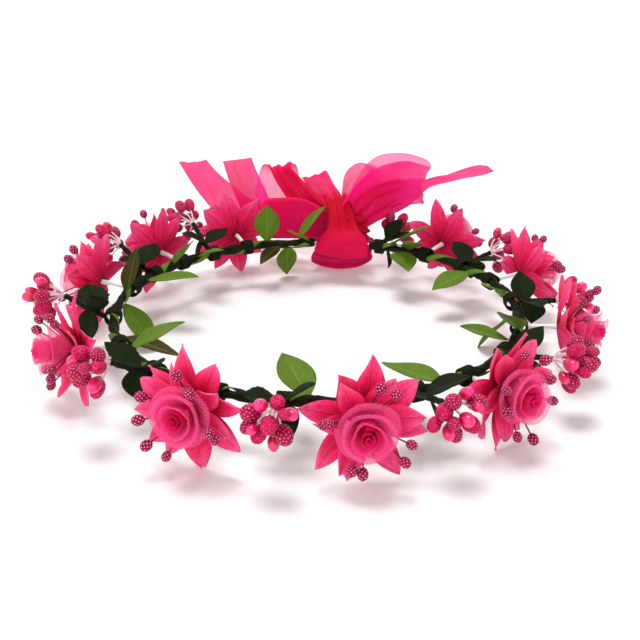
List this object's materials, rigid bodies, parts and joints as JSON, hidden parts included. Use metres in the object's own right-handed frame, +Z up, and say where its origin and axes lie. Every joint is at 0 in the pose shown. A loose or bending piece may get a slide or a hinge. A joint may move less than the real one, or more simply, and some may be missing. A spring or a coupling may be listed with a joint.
{
  "type": "flower crown",
  "caption": "Taped wire hair ring with star-petalled fabric flowers and berry sprays on stems that bend, a leaf vine, and a sheer ribbon bow that ties its open back.",
  "frame": {"origin": "centre of the head opening, in the plane of the wire ring's centreline", "axes": "+Z up, -Y towards the front of the crown, +Y towards the bow"},
  "size_m": [0.2543, 0.2891, 0.0647],
  "materials": {
    "wire": "drawn iron wire",
    "floral_tape": "waxed crepe tape, creased",
    "vine_leaf": "printed satin with a pressed vein",
    "organza_ribbon": "sheer organza with a woven edge",
    "petal": "satin, creased, darker at the centre",
    "organza_rose": "sheer rolled organza",
    "stem": "smooth",
    "dark_leaf": "stiffened satin",
    "berry": "pearly, some with grains"
  },
  "bodies": {
    "crown": {"ring_core_wire": "wire", "ring_tape": "floral_tape", "leaf_vine_left": "vine_leaf", "leaf_vine_right": "vine_leaf", "bow_knot": "organza_ribbon", "bow_loops_left": "organza_ribbon", "bow_loops_right": "organza_ribbon", "tail_left_front": "organza_ribbon", "tail_left_back": "organza_ribbon", "tail_right": "organza_ribbon"},
    "flower_01": {"flower_01_petals": "petal", "flower_01_rose": "organza_rose", "flower_01_stem": "stem"},
    "flower_02": {"flower_02_petals": "petal", "flower_02_rose": "organza_rose", "flower_02_stem": "stem"},
    "flower_03": {"flower_03_petals": "petal", "flower_03_rose": "organza_rose", "flower_03_stem": "stem"},
    "flower_04": {"flower_04_petals": "petal", "flower_04_rose": "organza_rose", "flower_04_stem": "stem"},
    "flower_05": {"flower_05_petals": "petal", "flower_05_rose": "organza_rose", "flower_05_stem": "stem"},
    "flower_06": {"flower_06_petals": "petal", "flower_06_rose": "organza_rose", "flower_06_stem": "stem"},
    "flower_07": {"flower_07_petals": "petal", "flower_07_rose": "organza_rose", "flower_07_stem": "stem"},
    "flower_08": {"flower_08_petals": "petal", "flower_08_rose": "organza_rose", "flower_08_stem": "stem"},
    "flower_09": {"flower_09_petals": "petal", "flower_09_rose": "organza_rose", "flower_09_stem": "stem"},
    "flower_10": {"flower_10_petals": "petal", "flower_10_rose": "organza_rose", "flower_10_stem": "stem"},
    "spray_01": {"spray_01_leaves": "dark_leaf", "spray_01_berries": "berry"},
    "spray_02": {"spray_02_leaves": "dark_leaf", "spray_02_berries": "berry"},
    "spray_03": {"spray_03_leaves": "dark_leaf", "spray_03_berries": "berry"},
    "spray_04": {"spray_04_leaves": "dark_leaf", "spray_04_berries": "berry"},
    "spray_05": {"spray_05_leaves": "dark_leaf", "spray_05_berries": "berry"},
    "spray_06": {"spray_06_leaves": "dark_leaf", "spray_06_berries": "berry"},
    "spray_07": {"spray_07_leaves": "dark_leaf", "spray_07_berries": "berry"},
    "spray_08": {"spray_08_leaves": "dark_leaf", "spray_08_berries": "berry"},
    "spray_09": {"spray_09_leaves": "dark_leaf", "spray_09_berries": "berry"},
    "spray_10": {"spray_10_leaves": "dark_leaf", "spray_10_berries": "berry"}
  },
  "joints": [
    {"name": "flower_01_bend", "type": "hinge", "parent": "crown", "child": "flower_01", "pos_m": [-0.04902, 0.07548, 0], "axis": [0.8387, 0.5446, 0], "range_deg": [-10, 10]},
    {"name": "flower_02_bend", "type": "hinge", "parent": "crown", "child": "flower_02", "pos_m": [-0.07632, 0.04769, 0], "axis": [0.5299, 0.848, 0], "range_deg": [-10, 10]},
    {"name": "flower_03_bend", "type": "hinge", "parent": "crown", "child": "flower_03", "pos_m": [-0.08951, 0.00941, 0], "axis": [0.1045, 0.9945, 0], "range_deg": [-10, 10]},
    {"name": "flower_04_bend", "type": "hinge", "parent": "crown", "child": "flower_04", "pos_m": [-0.07281, -0.0529, 0], "axis": [-0.5878, 0.809, 0], "range_deg": [-10, 10]},
    {"name": "flower_05_bend", "type": "hinge", "parent": "crown", "child": "flower_05", "pos_m": [-0.02329, -0.08693, 0], "axis": [-0.9659, 0.2588, 0], "range_deg": [-10, 10]},
    {"name": "flower_06_bend", "type": "hinge", "parent": "crown", "child": "flower_06", "pos_m": [0.02781, -0.0856, 0], "axis": [-0.9511, -0.309, 0], "range_deg": [-10, 10]},
    {"name": "flower_07_bend", "type": "hinge", "parent": "crown", "child": "flower_07", "pos_m": [0.06792, -0.05905, 0], "axis": [-0.6561, -0.7547, 0], "range_deg": [-10, 10]},
    {"name": "flower_08_bend", "type": "hinge", "parent": "crown", "child": "flower_08", "pos_m": [0.08966, -0.00784, 0], "axis": [-0.0872, -0.9962, 0], "range_deg": [-10, 10]},
    {"name": "flower_09_bend", "type": "hinge", "parent": "crown", "child": "flower_09", "pos_m": [0.07794, 0.045, 0], "axis": [0.5, -0.866, 0], "range_deg": [-10, 10]},
    {"name": "flower_10_bend", "type": "hinge", "parent": "crown", "child": "flower_10", "pos_m": [0.045, 0.07794, 0], "axis": [0.866, -0.5, 0], "range_deg": [-10, 10]},
    {"name": "spray_01_bend", "type": "hinge", "parent": "crown", "child": "spray_01", "pos_m": [-0.06419, 0.06308, 0], "axis": [0.7009, 0.7133, 0], "range_deg": [-10, 10]},
    {"name": "spray_02_bend", "type": "hinge", "parent": "crown", "child": "spray_02", "pos_m": [-0.0851, 0.0293, 0], "axis": [0.3256, 0.9455, 0], "range_deg": [-10, 10]},
    {"name": "spray_03_bend", "type": "hinge", "parent": "crown", "child": "spray_03", "pos_m": [-0.08651, -0.02481, 0], "axis": [-0.2756, 0.9613, 0], "range_deg": [-10, 10]},
    {"name": "spray_04_bend", "type": "hinge", "parent": "crown", "child": "spray_04", "pos_m": [-0.05162, -0.07372, 0], "axis": [-0.8192, 0.5736, 0], "range_deg": [-10, 10]},
    {"name": "spray_05_bend", "type": "hinge", "parent": "crown", "child": "spray_05", "pos_m": [0.00236, -0.08997, 0], "axis": [-0.9997, -0.0262, 0], "range_deg": [-10, 10]},
    {"name": "spray_06_bend", "type": "hinge", "parent": "crown", "child": "spray_06", "pos_m": [0.04967, -0.07505, 0], "axis": [-0.8339, -0.5519, 0], "range_deg": [-10, 10]},
    {"name": "spray_07_bend", "type": "hinge", "parent": "crown", "child": "spray_07", "pos_m": [0.08285, -0.03517, 0], "axis": [-0.3907, -0.9205, 0], "range_deg": [-10, 10]},
    {"name": "spray_08_bend", "type": "hinge", "parent": "crown", "child": "spray_08", "pos_m": [0.08769, 0.02025, 0], "axis": [0.225, -0.9744, 0], "range_deg": [-10, 10]},
    {"name": "spray_09_bend", "type": "hinge", "parent": "crown", "child": "spray_09", "pos_m": [0.06364, 0.06364, 0], "axis": [0.7071, -0.7071, 0], "range_deg": [-10, 10]},
    {"name": "spray_10_bend", "type": "hinge", "parent": "crown", "child": "spray_10", "pos_m": [0.02025, 0.08769, 0], "axis": [0.9744, -0.225, 0], "range_deg": [-10, 10]}
  ]
}
